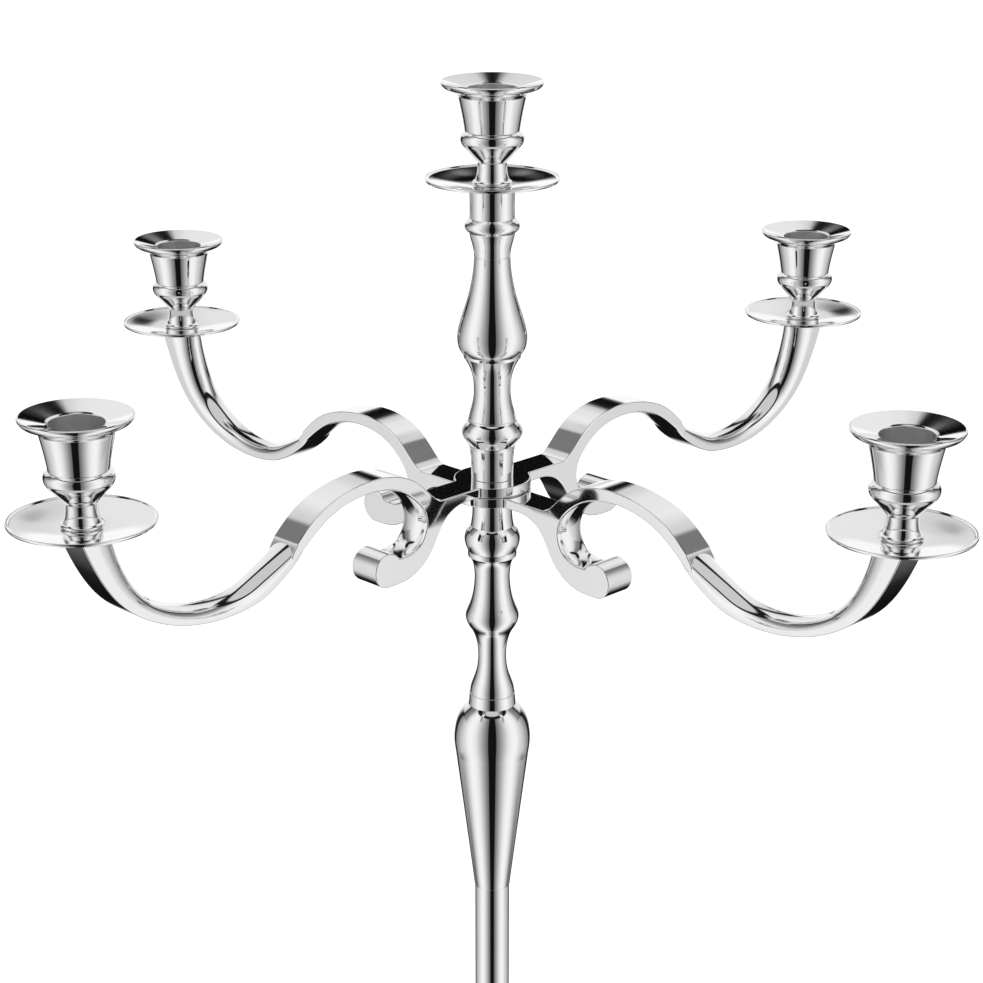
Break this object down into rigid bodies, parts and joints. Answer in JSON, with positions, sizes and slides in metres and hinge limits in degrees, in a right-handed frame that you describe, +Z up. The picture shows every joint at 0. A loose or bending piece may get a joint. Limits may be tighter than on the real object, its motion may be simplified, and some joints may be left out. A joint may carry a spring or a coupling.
{
  "type": "tabletop candelabra",
  "caption": "Plated metal candelabra: turned column on a round foot, scrolled arms with drip plates and cups for dinner candles around a taller middle light.",
  "frame": {"origin": "middle of the base, on the surface it stands on", "axes": "+Z up along the column; the arms lie along the diagonals of X and Y; the front of the object faces -Y"},
  "size_m": [0.3882, 0.3882, 0.6],
  "materials": {
    "nickel_plate": "bright nickel plate over polished cast aluminium",
    "steel": "zinc plated",
    "cast_iron": "painted black",
    "felt": "felt"
  },
  "bodies": {
    "column": {"base_foot": "nickel_plate", "base_felt": "felt", "ballast_disc": "cast_iron", "base_washer": "steel", "base_nut": "steel", "tie_rod": "steel", "pole_tube": "nickel_plate", "taper_stem": "nickel_plate", "lower_baluster": "nickel_plate", "lower_neck": "nickel_plate", "hub_sleeve": "steel", "friction_washer": "steel", "upper_neck": "nickel_plate", "upper_baluster": "nickel_plate", "upper_collar": "nickel_plate", "drip_plate_centre": "nickel_plate", "candle_cup_centre": "nickel_plate"},
    "upper_arms": {"upper_cross_arm": "nickel_plate", "upper_cup_studs": "steel", "drip_plate_rear_right": "nickel_plate", "candle_cup_rear_right": "nickel_plate", "drip_plate_front_left": "nickel_plate", "candle_cup_front_left": "nickel_plate"},
    "lower_arms": {"lower_cross_arm": "nickel_plate", "lower_cup_studs": "steel", "drip_plate_front_right": "nickel_plate", "candle_cup_front_right": "nickel_plate", "drip_plate_rear_left": "nickel_plate", "candle_cup_rear_left": "nickel_plate"}
  },
  "joints": [
    {"name": "upper_arm_swivel", "type": "hinge", "parent": "column", "child": "upper_arms", "pos_m": [0, 0, 0.41255], "axis": [0, 0, 1], "range_deg": [-25, 25]},
    {"name": "lower_arm_swivel", "type": "hinge", "parent": "column", "child": "lower_arms", "pos_m": [0, 0, 0.40745], "axis": [0, 0, 1], "range_deg": [-25, 25]}
  ]
}
